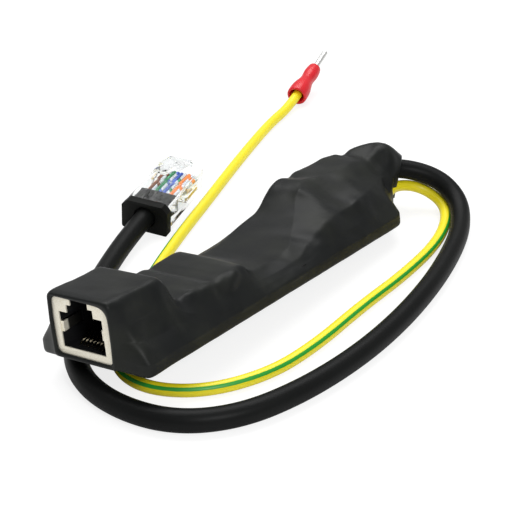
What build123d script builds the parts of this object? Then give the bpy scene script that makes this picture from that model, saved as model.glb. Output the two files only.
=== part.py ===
from build123d import *
import os
from math import cos, hypot, pi, radians, sin, tan

# An in-line surge protector for a wired network: a socket and a row of suppressors on a small
# circuit board, under one shrunk film, with a plug on a short cable and an earth wire.
# The board frame has X to the right, Y from the socket's mouth to the cable, and Z up from
# the board's top face. The finished part lies on a table at Z = 0, with its socket towards -Y.

# Circuit board
board_width = 28.0
board_start = 3.0
board_length = 94.0
board_end = board_start + board_length
board_thick = 1.6
board_corner = 1.0
hole_play = 0.12

# Socket
jack_width = 15.7
jack_height = 13.0
jack_depth = 15.2
jack_corner = 1.2
sheet = 0.3
fit = 0.05
port_width = 11.84
port_floor = 1.83
port_shoulder = 9.66
key_width = 7.3
key_top = 11.39
notch_width = 4.84
port_wall = 1.8
port_depth = jack_depth - port_wall
spring_low = 5.1
spring_height = 2.3
spring_reach = 1.7
spring_knee = 2.7
spring_length = 6.0
spring_room = 0.5
spring_play = 0.2
peg_diameter = 3.0
peg_spacing = 11.2
peg_back = 8.6

# Socket contacts
contact_count = 8
contact_pitch = 1.02
contact_diameter = 0.45
contact_tip = 2.0
contact_row_gap = 4.0
contact_row = jack_depth - contact_row_gap
contact_stagger = 1.3
contact_knee_run = 2.6
contact_knee_height = 5.6
contact_bend = 1.2
slot_width = 0.66

# Suppressor diodes, in two rows behind the socket
diode_diameter = 5.4
diode_length = 8.2
diode_axis_height = 4.1
diode_columns = 3
diode_rows = 2
diode_side_gap = 1.0
diode_row_gap = 3.2
diode_middle_x = 1.0
jack_gap = 4.7
diode_pitch_x = diode_diameter + diode_side_gap
diode_pitch_y = diode_length + diode_row_gap
diode_first_row = jack_depth + jack_gap + diode_length / 2
diode_rim = 0.4
lead_diameter = 0.9
lead_reach = 0.9
lead_bend = 0.7

# Gas tubes, upright under the tall hump
tube_count = 2
tube_diameter = 7.8
tube_height = 10.2
tube_base = 2.2
tube_x = -4.2
tube_end_gap = 2.3
tube_gap = 2.6
tube_groove = 0.35
tube_cap_height = 2.2
tube_band = 1.1
tube_pitch = tube_diameter + tube_gap
tube_last = board_end - tube_end_gap - tube_diameter / 2
tube_rim = 0.6
tube_leg_spacing = 2.6

# Bridge rectifiers, beside the tubes
bridge_count = 2
bridge_size = (8.3, 6.4, 3.3)
bridge_base = 3.4
bridge_x = 6.6
bridge_end_gap = 8.2
bridge_gap = 3.2
bridge_pitch = bridge_size[1] + bridge_gap
bridge_last = board_end - bridge_end_gap - bridge_size[1] / 2
bridge_leg_spacing = 5.1
bridge_leg_side = 0.6
bridge_chamfer = 0.5

# Cable cores, soldered behind the rectifiers
core_diameter = 0.85
core_pitch = 1.35
core_row_gap = 1.1
core_row = board_end - core_row_gap
core_bend_back = 0.9
core_bend_height = 2.3
core_step = 1.0
core_lift = 2.0
core_gap = 1.12
core_rise = 1.35
core_stub = 0.8

# Earth wire's bare end
earth_x = 7.4
earth_pad_gap = 2.8
earth_pad = board_end - earth_pad_gap
earth_height = 1.75
earth_core_diameter = 1.8

# Where the two cords start, in the board frame
cable_reach = 6.0
cable_height = 7.3
cable_end = (0.0, board_end + cable_reach, cable_height)
cable_straight = 3.6
earth_reach = 1.5
earth_end = (earth_x, board_end + earth_reach, earth_height)
earth_straight = 3.2

# Shrunk film over the board
film = 0.6
slack = 0.2
rim_round = 1.0
crest_round = jack_corner + slack + film
lip = 0.5
lip_cover = 0.15
lip_hang_corner = 4.2
lip_corner = 1.5
side_bow = 0.25
tail_inset = 0.4
lip_run = 1.0
step_run = 2.5
diode_dip = 0.5
tail_drop = 0.4
tail_left_inset = 1.6
tail_right_inset = 3.2

# Folds in the film's sides: each is a share of the room beside what is covered, and of its height
jack_folds = [(0.5, 0.4), (0.25, 0.65), (0.5, 0.35)]
diode_folds = [(0.55, 0.5), (0.45, 0.55), (0.8, 0.3)]
tube_folds = [(0.6, 0.4), (0.75, 0.45)]
box_folds = (0.5, 0.7, 0.35)
rise_shares = (0.8, 0.74)

# The film's outline where no part fills it: its place behind the diodes or the board, the insets of
# its left and right edges, the lift of its underside, and its crest from left to right
valley_stations = [
    (5.9, 0.0, 0.0, 0.0, [(-12.2, 2.4), (-8.2, 4.3), (8.0, 3.9), (11.4, 2.8), (13.2, 1.6)]),
    (17.5, 0.0, 0.0, 0.0, [(-12.2, 2.8), (-8.4, 5.0), (8.2, 4.3), (11.4, 3.0), (13.2, 1.7)]),
    (26.5, 0.0, 0.0, 0.0, [(-12.2, 3.6), (-8.4, 7.0), (6.0, 5.8), (10.8, 4.4), (13.2, 2.2)]),
]
tail_stations = [
    (5.0, 5.0, 3.6, 0.3, [(-8.4, 5.2), (-5.0, 12.8), (1.4, 12.8), (6.6, 9.2), (9.8, 4.6)]),
    (10.5, 8.0, 5.8, 0.9, [(-6.6, 5.4), (-4.4, 12.8), (2.4, 12.9), (6.6, 9.2), (8.6, 4.8)]),
]

# The collar's mouth, turned to the right
mouth_turn = 42.0
mouth_reach = 17.6
mouth_middle = (4.7, board_end + mouth_reach, 4.9)
mouth_half_width = 4.6
mouth_half_height = 5.2
mouth_angles = (248, 208, 165, 120, 75, 35, 0, -34, -70)

# How the board lies on the table: its socket end is up on the cable, and it leans on one edge
pitch = -3.45
lean = 9.0

# Cable and earth wire
cable_diameter = 5.0
earth_diameter = 2.85
arc_share = 0.45

# Plug
plug_width = 11.7
plug_height = 6.5
plug_length = 21.5
plug_corner = 0.35
plug_cavity_width = 9.8
plug_cavity_height = 5.2
plug_cavity_depth = 12.4
plug_nose_wall = 1.2
channel_height = 1.1
channel_base = 1.75
blade_thick = 0.34
blade_length = 5.6
blade_back = 1.3
blade_sink = 0.35
blade_play = 0.04
conductor_diameter = 0.9
jacket_reach = 6.4
fan_place = 9.6
drop_place = 11.3
drop_height = 1.05

# Latch of the plug
latch_width = 6.2
latch_tab_width = 3.3
latch_length = 14.6
latch_shoulder = 8.2
latch_thick = 1.0
latch_rise = 15.0
latch_boss_height = 0.9
latch_boss_length = 1.9
latch_pivot_radius = 0.5
latch_pivot_play = 0.08
latch_pivot_back = 0.9

# Boot: a collar behind the plug, with two prongs in the plug's cavity
boot_width = 12.6
boot_height = 8.2
boot_collar = 2.4
boot_bevel = 1.6
boot_corner = 0.6
boot_play = 0.06
boot_throat = 1.4
boot_throat_play = 0.5
prong_length = 7.2
prong_bevel = 0.4

# Crimp terminal
bell_diameter = 6.4
bell_bore = 4.4
waist_diameter = 4.2
waist_place = 9.4
bulb_diameter = 4.7
bulb_place = 13.0
sleeve_length = 16.2
sleeve_wall = 0.55
barrel_diameter = 3.0
barrel_bore = 1.9
barrel_start = 4.4
core_reach = 7.0
pin_diameter = 1.9
pin_length = 9.6
pin_tip = 0.4

# Where the plug and the terminal lie: the plug's rear face and the terminal's rim, with their turns
plug_place = (-40.07, 6.95)
plug_heading = 15.0
plug_climb = 4.0
plug_roll = 4.3
plug_approach = 9.0
terminal_place = (-56.3, 96.9, 3.22)
terminal_heading = 13.0
terminal_climb = 13.0
terminal_approach = 6.0

# The cable's route over the table, between the board's end and the plug
cable_route = [
    (4.0, 56.8, 10.9),
    (13.0, 61.4, 8.6),
    (20.3, 59.6, 5.1),
    (25.6, 51.8, 2.9),
    (30.0, 40.0, 2.52),
    (34.3, 22.0, 2.52),
    (36.7, 3.0, 2.52),
    (36.9, -15.0, 2.52),
    (34.6, -32.6, 2.52),
    (29.6, -47.2, 2.52),
    (20.4, -56.6, 2.52),
    (7.6, -59.2, 2.52),
    (-5.0, -56.2, 2.52),
    (-15.6, -47.2, 2.52),
    (-24.9, -32.6, 2.52),
    (-32.7, -16.2, 2.6),
]

# The earth wire's route over the table, between the board's end and the terminal
earth_route = [
    (4.4, 52.8, 7.2),
    (7.9, 58.7, 5.9),
    (14.2, 58.9, 3.4),
    (20.0, 53.4, 1.7),
    (24.8, 41.0, 1.45),
    (28.4, 23.0, 1.45),
    (29.7, 4.0, 1.45),
    (28.7, -15.0, 1.45),
    (24.6, -30.6, 1.45),
    (17.4, -43.4, 1.45),
    (6.4, -50.0, 1.45),
    (-4.6, -46.8, 1.45),
    (-13.4, -32.6, 1.45),
    (-21.8, -14.0, 1.45),
    (-29.4, 6.0, 1.45),
    (-36.2, 26.6, 1.45),
    (-42.7, 45.6, 1.45),
    (-48.8, 64.6, 1.45),
    (-53.0, 79.0, 1.5),
]


def arc_radii(points):
    # Each arc is as large as the shorter of its two runs allows.
    radii = []
    for before, here, after in zip(points, points[1:], points[2:]):
        run_in = Vector(here) - Vector(before)
        run_out = Vector(after) - Vector(here)
        turn = radians(run_in.get_angle(run_out))
        radii.append(arc_share * min(run_in.length, run_out.length) / tan(turn / 2))
    return radii


def tube(points, radii, diameter):
    path = FilletPolyline(*points, radius=radii)
    profile = Plane(origin=path @ 0, z_dir=path % 0) * Circle(diameter / 2)
    return sweep(profile, path=path)


def cord(name, points, diameter):
    radii = arc_radii(points)
    solid = tube(points, radii, diameter)
    length = FilletPolyline(*points, radius=radii).length
    section = pi * diameter ** 2 / 4
    print(name, "length", round(length, 1), "radii", [round(radius, 1) for radius in radii])
    print(name, "volume", round(solid.volume, 1), "section x length", round(section * length, 1))
    return solid


def rod(start, height, diameter):
    x, y, z = start
    return Pos(x, y, z) * Cylinder(diameter / 2, height, align=(Align.CENTER, Align.CENTER, Align.MIN))


def block(x, y, z):
    # A box between pairs of limits.
    size = (x[1] - x[0], y[1] - y[0], z[1] - z[0])
    return Pos(x[0], y[0], z[0]) * Box(*size, align=(Align.MIN, Align.MIN, Align.MIN))


def contact_places():
    for number in range(contact_count):
        x = (number - (contact_count - 1) / 2) * contact_pitch
        yield number, x, contact_row + contact_stagger * (number % 2)


def diode_places():
    for row in range(diode_rows):
        for column in range(diode_columns):
            x = diode_middle_x + (column - (diode_columns - 1) / 2) * diode_pitch_x
            yield x, diode_first_row + row * diode_pitch_y


def tube_places():
    return [tube_last - number * tube_pitch for number in reversed(range(tube_count))]


def bridge_places():
    return [bridge_last - number * bridge_pitch for number in reversed(range(bridge_count))]


def core_places():
    return [(number - (contact_count - 1) / 2) * core_pitch for number in range(contact_count)]


def leg_pattern():
    # Every lead that goes down through the board: its place and diameter.
    legs = [(x, y, contact_diameter) for _, x, y in contact_places()]
    reach = diode_length / 2 + lead_reach
    for x, y in diode_places():
        legs += [(x, y - reach, lead_diameter), (x, y + reach, lead_diameter)]
    for y in tube_places():
        legs += [(tube_x + side * tube_leg_spacing, y, lead_diameter) for side in (-1, 0, 1)]
    for y in bridge_places():
        for side in (-1, 1):
            for end in (-1, 1):
                corner = (bridge_x + side * bridge_leg_spacing / 2, y + end * bridge_leg_spacing / 2)
                legs.append((*corner, bridge_leg_side * 2 ** 0.5))
    return legs


def circuit_board():
    limits = (board_start, board_end)
    board = block((-board_width / 2, board_width / 2), limits, (-board_thick, 0))
    board = fillet(board.edges().filter_by(Axis.Z), board_corner)
    for x, y, diameter in leg_pattern():
        board -= rod((x, y, -board_thick), board_thick, diameter + 2 * hole_play)
    for side in (-1, 1):
        peg = (side * peg_spacing / 2, peg_back, -board_thick)
        board -= rod(peg, board_thick, peg_diameter + 2 * hole_play)
    return board


def port_profile(start, depth, top):
    # The stepped opening that takes the plug and its latch.
    half, key, notch = port_width / 2, key_width / 2, notch_width / 2
    right = [(half, port_floor), (half, port_shoulder), (key, port_shoulder), (key, key_top)]
    right += [(notch, key_top), (notch, top)]
    left = [(-x, z) for x, z in reversed(right)]
    outline = Plane(origin=(0, start, 0), x_dir=(1, 0, 0), z_dir=(0, -1, 0)) * Polyline(*right, *left, close=True)
    return extrude(make_face(outline), amount=-depth)


def jack_shield():
    half = jack_width / 2
    can = block((-half, half), (0, jack_depth), (0, jack_height))
    can = fillet(can.edges().filter_by(Axis.Y), jack_corner)
    inner = half - sheet
    can -= block((-inner, inner), (sheet, jack_depth - sheet), (-sheet, jack_height - sheet))
    can -= port_profile(0, sheet, jack_height - sheet)
    for side in (-1, 1):
        can += ground_spring(side)
    return can


def ground_spring(side):
    # A strip of the shield, bent into the opening and back to the wall.
    root = port_width / 2 + sheet
    path = Polyline((side * root, sheet / 2), (side * (port_width / 2 - spring_reach), spring_knee),
                    (side * (port_width / 2), spring_length))
    strip = Pos(0, 0, spring_low) * trace(path, line_width=sheet)
    return extrude(strip, amount=spring_height)


def jack_insert():
    half = jack_width / 2 - sheet - fit
    start, end = sheet + fit, jack_depth - sheet - fit
    body = block((-half, half), (start, end), (0, jack_height - sheet - fit))
    corner = max(jack_corner - sheet, fit)
    body = fillet(body.edges().filter_by(Axis.Y), corner)
    body -= port_profile(start, port_depth - start, jack_height)
    for side in (-1, 1):
        inside = side * (port_width / 2 - fit)
        outside = side * (port_width / 2 + sheet + spring_room)
        limits = (min(inside, outside), max(inside, outside))
        heights = (spring_low - spring_play, spring_low + spring_height + spring_play)
        body -= block(limits, (start, spring_length + spring_room), heights)
        body += rod((side * peg_spacing / 2, peg_back, -board_thick), board_thick, peg_diameter)
    for _, x, row in contact_places():
        slot = (x - slot_width / 2, x + slot_width / 2)
        body -= block(slot, (contact_tip - slot_width, row + slot_width), (port_floor / 2, port_floor))
        body -= block(slot, (row - slot_width / 2, row + slot_width / 2), (0, port_floor))
    return body


def jack_contact(x, row):
    tip = (x, contact_tip, port_floor / 2 + contact_diameter)
    knee = (x, contact_row - contact_knee_run, contact_knee_height)
    heel = (x, row, contact_knee_height)
    foot = (x, row, -board_thick)
    return tube([tip, knee, heel, foot], [contact_bend, contact_bend], contact_diameter)


def suppressor_diode(x, y):
    body = Pos(x, y, diode_axis_height) * Rot(90, 0, 0) * Cylinder(diode_diameter / 2, diode_length)
    body = chamfer(body.edges().filter_by(GeomType.CIRCLE), diode_rim)
    for end in (-1, 1):
        face = y + end * (diode_length / 2 - diode_rim)
        out = y + end * (diode_length / 2 + lead_reach)
        route = [(x, face, diode_axis_height), (x, out, diode_axis_height), (x, out, -board_thick)]
        body += tube(route, [lead_bend], lead_diameter)
    return body


def gas_tube(y):
    radius = tube_diameter / 2
    neck = radius - tube_groove
    cap = tube_base + tube_cap_height
    top = tube_base + tube_height
    middle = tube_base + tube_height / 2
    band = tube_band / 2
    outline = [(0, tube_base), (radius, tube_base), (radius, cap), (neck, cap), (neck, middle - band)]
    outline += [(radius, middle - band), (radius, middle + band), (neck, middle + band)]
    outline += [(neck, top - tube_cap_height), (radius, top - tube_cap_height)]
    outline += [(radius, top - tube_rim), (radius - tube_rim, top), (0, top)]
    body = revolve(make_face(Plane.XZ * Polyline(*outline, close=True)), axis=Axis.Z)
    body = Pos(tube_x, y, 0) * body
    for side in (-1, 0, 1):
        leg = (tube_x + side * tube_leg_spacing, y, -board_thick)
        body += rod(leg, board_thick + tube_base + tube_groove, lead_diameter)
    return body


def bridge_rectifier(y):
    length, width, height = bridge_size
    body = block((bridge_x - length / 2, bridge_x + length / 2), (y - width / 2, y + width / 2),
                 (bridge_base, bridge_base + height))
    body = chamfer(body.faces().sort_by(Axis.Z)[-1].edges(), bridge_chamfer)
    half = bridge_leg_side / 2
    for side in (-1, 1):
        for end in (-1, 1):
            leg_x = bridge_x + side * bridge_leg_spacing / 2
            leg_y = y + end * bridge_leg_spacing / 2
            body += block((leg_x - half, leg_x + half), (leg_y - half, leg_y + half),
                          (-board_thick, bridge_base + half))
    return body


def jacket_end(number, height):
    # Where a core leaves the jacket: the two cores of a pair lie one above the other.
    pair, upper = divmod(number, 2)
    return (pair - (contact_count / 2 - 1) / 2) * core_gap, height + (upper - 0.5) * core_rise


def cable_core(number, pad):
    # An insulated core, from the cable's cut end down to its pad on the board.
    x, z = jacket_end(number, cable_end[2])
    upper = number % 2
    bend = (pad, core_row + core_bend_back + core_step * upper, core_bend_height + core_lift * upper)
    route = [(x, cable_end[1], z), (x, cable_end[1] - core_stub, z), bend, (pad, core_row, core_diameter / 2)]
    core = tube(route, arc_radii(route), core_diameter)
    return core - block((-board_width, board_width), (board_start, board_end), (-board_thick, 0))


def earth_core():
    start = Plane(origin=(earth_x, earth_pad, earth_height), z_dir=(0, 1, 0))
    return extrude(start * Circle(earth_core_diameter / 2), amount=earth_end[1] - earth_pad)


def station(y, insets, lift, crest):
    # One section of the film: its flange on both sides, and the crest from left to right.
    skin = slack + film
    left = insets[0] - board_width / 2 - skin
    right = board_width / 2 + skin - insets[1]
    low = lift - board_thick - skin
    plane = Plane(origin=(0, y, 0), x_dir=(1, 0, 0), z_dir=(0, -1, 0))
    return plane, [(left, low), (left, skin + lift), *crest, (right, skin + lift), (right, low)]


def fold(edge, top, shares):
    side = 1 if edge > 0 else -1
    room = board_width / 2 - abs(edge)
    return edge + side * room * shares[0], top * shares[1]


def crest_line(left, right, top, folds):
    return [fold(left, top, folds[0]), (left, top), (right, top), *[fold(right, top, shares) for shares in folds[1:]]]


def jack_stations():
    # The film round the socket: narrow in front of the board, then wide over the flange.
    skin = slack + film
    half = jack_width / 2 + skin
    top = jack_height + skin
    side = half + side_bow
    left_fold, upper_fold, lower_fold = [top * share for share in box_folds]
    box = [(-side, left_fold), (-half, top), (half, top), (side + side_bow, upper_fold), (side, lower_fold)]
    mouth_insets = [board_width / 2 - half + skin] * 2
    tent = crest_line(-half, half, top, jack_folds)
    return [
        station(-lip, mouth_insets, board_thick, box),
        station(lip_run, mouth_insets, board_thick, box),
        station(board_start - skin, (0, 0), 0, tent),
        station(jack_depth + skin, (0, 0), 0, tent),
    ]


def diode_block_end():
    return diode_first_row + (diode_rows - 1) * diode_pitch_y + diode_length / 2


def diode_stations():
    # The low block over the two rows of suppressor diodes.
    skin = slack + film
    edge = diode_pitch_x * (diode_columns - 1) / 2 + diode_diameter / 2 + skin
    top = diode_axis_height + diode_diameter / 2 + skin
    outline = crest_line(diode_middle_x - edge, diode_middle_x + edge, top, diode_folds)
    dip = [(x, z - diode_dip * z / top) for x, z in outline]
    return [
        station(jack_depth + skin + step_run, (0, 0), 0, dip),
        station(diode_first_row - diode_length / 2 + slack, (0, 0), 0, outline),
        station(diode_block_end() + skin / 2, (0, 0), 0, outline),
    ]


def tube_stations():
    # The tall hump over the gas tubes and the bridge rectifiers.
    skin = slack + film
    left = tube_x - tube_diameter / 2 - skin
    right = tube_x + tube_diameter / 2 + skin
    top = tube_base + tube_height + skin
    edge = bridge_x + bridge_size[0] / 2 + skin
    shoulder = bridge_base + bridge_size[2] + skin
    left_fold = fold(left, top, tube_folds[0])
    right_fold = fold(edge, shoulder, tube_folds[1])
    left_rise, right_rise = [top * share for share in rise_shares]
    rise = [left_fold, (left, left_rise), (right, right_rise), (edge, shoulder), right_fold]
    hump = [left_fold, (left, top), (right, top), (edge, shoulder), right_fold]
    tail = [left_fold, (left + tail_left_inset, top - tail_drop), (right, top - tail_drop)]
    tail += [(edge - tail_right_inset, shoulder), right_fold]
    return [
        station(bridge_places()[0] - bridge_size[1] / 2 - skin, (0, 0), 0, rise),
        station(tube_places()[0] - tube_diameter / 2 - skin, (0, 0), 0, hump),
        station(tube_places()[-1] + tube_diameter / 2 + skin / 2, (0, 0), 0, hump),
        station(board_end + skin, (tail_inset, tail_inset), 0, tail),
    ]


def mouth_station():
    turn = radians(mouth_turn)
    across = (cos(turn), -sin(turn), 0)
    plane = Plane(origin=mouth_middle, x_dir=across, z_dir=(-sin(turn), -cos(turn), 0))
    rounds = [radians(angle) for angle in mouth_angles]
    return plane, [(mouth_half_width * cos(angle), mouth_half_height * sin(angle)) for angle in rounds]


def free_stations(rows, start):
    return [station(start + run, (left, right), lift, crest) for run, left, right, lift, crest in rows]


def film_stations():
    valley = free_stations(valley_stations, diode_block_end())
    tail = free_stations(tail_stations, board_end)
    return [*jack_stations(), *diode_stations(), *valley, *tube_stations(), *tail, mouth_station()]


def inset_outline(points, distance):
    # The same outline, with every side moved inwards.
    inner = []
    for before, here, after in zip(points[-1:] + points, points, points[1:] + points[:1]):
        run_in = hypot(here[0] - before[0], here[1] - before[1])
        run_out = hypot(after[0] - here[0], after[1] - here[1])
        in_x, in_z = (here[0] - before[0]) / run_in, (here[1] - before[1]) / run_in
        out_x, out_z = (after[0] - here[0]) / run_out, (after[1] - here[1]) / run_out
        scale = distance / (1 + in_x * out_x + in_z * out_z)
        inner.append((here[0] + (in_z + out_z) * scale, here[1] - (in_x + out_x) * scale))
    return inner


def outline_radii(points, flange, crest):
    # The flange's corners are small, and the crest's as round as its runs allow.
    radii = []
    last = len(points) - 1
    for number, here in enumerate(points):
        run_in = Vector(*here) - Vector(*points[number - 1])
        run_out = Vector(*points[(number + 1) % len(points)]) - Vector(*here)
        limit = arc_share * min(run_in.length, run_out.length) / tan(radians(run_in.get_angle(run_out)) / 2)
        wanted = flange if number in (0, 1, last - 1, last) else crest
        radii.append(min(wanted, limit))
    return radii


def film_skin(stations, inset):
    faces = []
    for plane, points in stations:
        flange, crest = rim_round - inset, crest_round - inset
        if plane == stations[-1][0]:
            flange = crest = 2 * mouth_half_width
        points = inset_outline(points, inset)
        radii = outline_radii(points, flange, crest)
        faces.append(make_face(plane * FilletPolyline(*points, radius=radii, close=True)))
    return loft(faces, ruled=True), faces[-1]


def lip_window():
    # The opening in front of the socket, with one corner that hangs over its face.
    half = jack_width / 2 - lip_cover
    low, high = lip_cover, jack_height - lip_cover
    corners = [(-half, low), (half, low), (half, high), (-half, high)]
    radii = [lip_corner, lip_corner, lip_hang_corner, lip_corner]
    plane = Plane(origin=(0, -2 * lip, 0), x_dir=(1, 0, 0), z_dir=(0, -1, 0))
    return extrude(make_face(plane * FilletPolyline(*corners, radius=radii, close=True)), amount=-4 * lip)


def heat_shrink_sleeve():
    stations = film_stations()
    outer, _ = film_skin(stations, 0)
    first, outline = stations[0]
    face_plane = Plane(origin=(0, 0, 0), x_dir=first.x_dir, z_dir=first.z_dir)
    inner, mouth = film_skin([(face_plane, outline), *stations[1:]], film)
    inner += extrude(mouth, amount=film) + extrude(mouth, amount=-film)
    return outer - inner - lip_window()


def plug_housing():
    half = plug_width / 2
    body = block((-half, half), (0, plug_length), (0, plug_height))
    body = fillet(body.edges().filter_by(Axis.Y), plug_corner)
    middle = plug_height / 2
    cavity = (middle - plug_cavity_height / 2, middle + plug_cavity_height / 2)
    body -= block((-plug_cavity_width / 2, plug_cavity_width / 2), (0, plug_cavity_depth), cavity)
    side = contact_count * contact_pitch / 2 + fit
    body -= block((-side, side), (plug_cavity_depth, plug_length - plug_nose_wall),
                  (channel_base, channel_base + channel_height))
    for _, x, _ in contact_places():
        slot = blade_thick / 2 + blade_play
        body -= block((x - slot, x + slot), blade_span(blade_play), (0, channel_base))
    boss = (plug_height, plug_height + latch_boss_height)
    body += block((-latch_width / 2, latch_width / 2), (plug_length - latch_boss_length, plug_length), boss)
    bore = Cylinder(latch_pivot_radius + latch_pivot_play, latch_width)
    return body - Pos(0, latch_pivot_place, latch_pivot_height) * Rot(0, 90, 0) * bore


def blade_span(play):
    front = plug_length - blade_back
    return front - blade_length - play, front + play


def plug_blade(x):
    return block((x - blade_thick / 2, x + blade_thick / 2), blade_span(0), (blade_sink, channel_base - blade_play))


def plug_conductor(number, x):
    # The upper core of a pair comes down into the channel later than the lower one.
    start_x, start_z = jacket_end(number, plug_height / 2)
    height = channel_base + channel_height / 2
    route = [(start_x, jacket_reach, start_z), (start_x, jacket_reach + core_stub, start_z)]
    if number % 2:
        route += [(x, fan_place, height + drop_height), (x, drop_place, height)]
    else:
        route += [(x, fan_place, height)]
    route.append((x, plug_length - plug_nose_wall - fit, height))
    return tube(route, arc_radii(route), conductor_diameter)


def plug_latch():
    arm = block((-latch_width / 2, latch_width / 2), (-latch_shoulder, 0), (0, latch_thick))
    tab = block((-latch_tab_width / 2, latch_tab_width / 2), (-latch_length, 0), (0, latch_thick))
    root = Rot(0, 90, 0) * Cylinder(latch_pivot_radius, latch_width)
    lever = Pos(0, 0, latch_pivot_play) * (arm + tab) + root
    return Pos(0, latch_pivot_place, latch_pivot_height) * Rot(-latch_rise, 0, 0) * lever


def strain_relief_boot():
    middle = plug_height / 2
    half, tall = boot_width / 2, boot_height / 2
    body = block((-half, half), (-boot_collar, 0), (middle - tall, middle + tall))
    upper = body.edges().filter_by(Axis.Y).group_by(Axis.Z)[-1]
    body = chamfer(upper, boot_bevel)
    lower = body.edges().filter_by(Axis.Y).group_by(Axis.Z)[0]
    body = fillet(lower, boot_corner)
    bore = cable_diameter / 2 + boot_play
    body -= Pos(0, -boot_collar, middle) * Rot(90, 0, 0) * Cylinder(bore, 2 * boot_collar)
    throat = Cylinder(cable_diameter / 2 + boot_throat_play, 2 * boot_throat)
    body -= Pos(0, -boot_collar, middle) * Rot(90, 0, 0) * throat
    outside = plug_cavity_width / 2 - boot_play
    height = plug_cavity_height / 2 - boot_play
    for side in (-1, 1):
        limits = sorted((side * bore, side * outside))
        prong = block(limits, (0, prong_length), (middle - height, middle + height))
        body += chamfer(prong.faces().sort_by(Axis.Y)[-1].edges(), prong_bevel)
    return body


def terminal_sleeve():
    # A bell round the wire, a waist, and a bulb over the barrel.
    wall = barrel_diameter / 2 + fit
    outline = Plane.XY * Polyline((bell_bore / 2, 0), (bell_diameter / 2, 0), (bell_diameter / 2, barrel_start),
                                  (waist_diameter / 2, waist_place), (bulb_diameter / 2, bulb_place),
                                  (wall + sleeve_wall, sleeve_length), (wall, sleeve_length),
                                  (wall, barrel_start + bell_bore / 2), (bell_bore / 2, barrel_start), close=True)
    return revolve(make_face(outline), axis=Axis.Y)


def terminal_pin():
    reach = sleeve_length + pin_length
    half = pin_diameter / 2
    outline = Plane.XY * Polyline((barrel_bore / 2, barrel_start), (barrel_diameter / 2, barrel_start),
                                  (barrel_diameter / 2, sleeve_length), (half, sleeve_length), (half, reach - pin_tip),
                                  (half - pin_tip, reach), (0, reach), (0, barrel_start + core_reach),
                                  (barrel_bore / 2, barrel_start + core_reach), close=True)
    return revolve(make_face(outline), axis=Axis.Y)


def terminal_core():
    start = Plane(origin=(0, barrel_start, 0), z_dir=(0, 1, 0))
    return extrude(start * Circle(earth_core_diameter / 2), amount=core_reach)


def seat_on_table(shape, turned, place=None):
    # The turned shape rests on the table, at the place given or with its box centred on the origin.
    box = (turned * shape).bounding_box()
    x, y = place or (-box.center().X, -box.center().Y)
    return Pos(x, y, -box.min.Z) * turned


def place_at(location, point):
    return tuple((location * Location(point)).position)


def straight_start(end, length):
    # A cord leaves the board along the board.
    return [place_at(seat, (end[0], end[1] + reach, end[2])) for reach in (0, length)]


latch_pivot_place = plug_length - latch_pivot_back
latch_pivot_height = plug_height + latch_boss_height + latch_pivot_play

sleeve = heat_shrink_sleeve()
seat = seat_on_table(sleeve, Rot(0, -lean, 0) * Rot(pitch, 0, 0))
boot = strain_relief_boot()
plug_turn = Rot(0, 0, plug_heading) * Rot(plug_climb, 0, 0) * Rot(0, plug_roll, 0)
plug_spot = seat_on_table(boot, plug_turn, plug_place)
terminal_spot = Pos(*terminal_place) * Rot(0, 0, terminal_heading) * Rot(terminal_climb, 0, 0)

board_pieces = {"heat_shrink_sleeve": sleeve, "circuit_board": circuit_board()}
board_pieces["jack_shield"] = jack_shield()
board_pieces["jack_insert"] = jack_insert()
for number, x, row in contact_places():
    board_pieces[f"jack_contact_{number + 1}"] = jack_contact(x, row)
for number, (x, y) in enumerate(diode_places()):
    board_pieces[f"suppressor_diode_{number + 1}"] = suppressor_diode(x, y)
for number, y in enumerate(tube_places()):
    board_pieces[f"gas_tube_{number + 1}"] = gas_tube(y)
for number, y in enumerate(bridge_places()):
    board_pieces[f"bridge_rectifier_{number + 1}"] = bridge_rectifier(y)
for number, pad in enumerate(core_places()):
    board_pieces[f"cable_core_{number + 1}"] = cable_core(number, pad)
board_pieces["earth_core"] = earth_core()

plug_pieces = {"plug_housing": plug_housing(), "plug_latch": plug_latch()}
plug_pieces["strain_relief_boot"] = boot
for number, x, _ in contact_places():
    plug_pieces[f"plug_blade_{number + 1}"] = plug_blade(x)
    plug_pieces[f"plug_conductor_{number + 1}"] = plug_conductor(number, x)

terminal_pieces = {"terminal_sleeve": terminal_sleeve(), "terminal_pin": terminal_pin()}
terminal_pieces["terminal_core"] = terminal_core()

cable_points = [*straight_start(cable_end, cable_straight), *cable_route]
cable_points += [place_at(plug_spot, (0, y, plug_height / 2)) for y in (-plug_approach, jacket_reach)]
earth_points = [*straight_start(earth_end, earth_straight), *earth_route]
earth_points += [place_at(terminal_spot, (0, y, 0)) for y in (-terminal_approach, barrel_start)]

pieces = {name: seat * shape for name, shape in board_pieces.items()}
pieces.update({name: plug_spot * shape for name, shape in plug_pieces.items()})
pieces.update({name: terminal_spot * shape for name, shape in terminal_pieces.items()})
pieces["cable"] = cord("cable", cable_points, cable_diameter)
pieces["earth_wire"] = cord("earth_wire", earth_points, earth_diameter)

os.makedirs("parts", exist_ok=True)
for name, shape in pieces.items():
    export_step(shape, f"parts/{name}.step")
print("seat", tuple(seat.position), "plug", tuple(plug_spot.position), "pieces", len(pieces))
print("cable", [tuple(round(value, 2) for value in point) for point in cable_points])
print("earth wire", [tuple(round(value, 2) for value in point) for point in earth_points])
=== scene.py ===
# %% [markdown]
# An in-line surge protector for a wired network: a small circuit board under black heat-shrink
# film, a short cable with a clear plug, and an earth wire with a crimp terminal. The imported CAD
# model is loaded first as a fixed frame. Every piece made here sits on it and rides on one of its
# bodies, so that the looks and the mechanics can't drift apart.

from math import cos, pi, radians, sin, tan

import bmesh
import bpy
from mathutils import Matrix, Vector, noise


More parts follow.
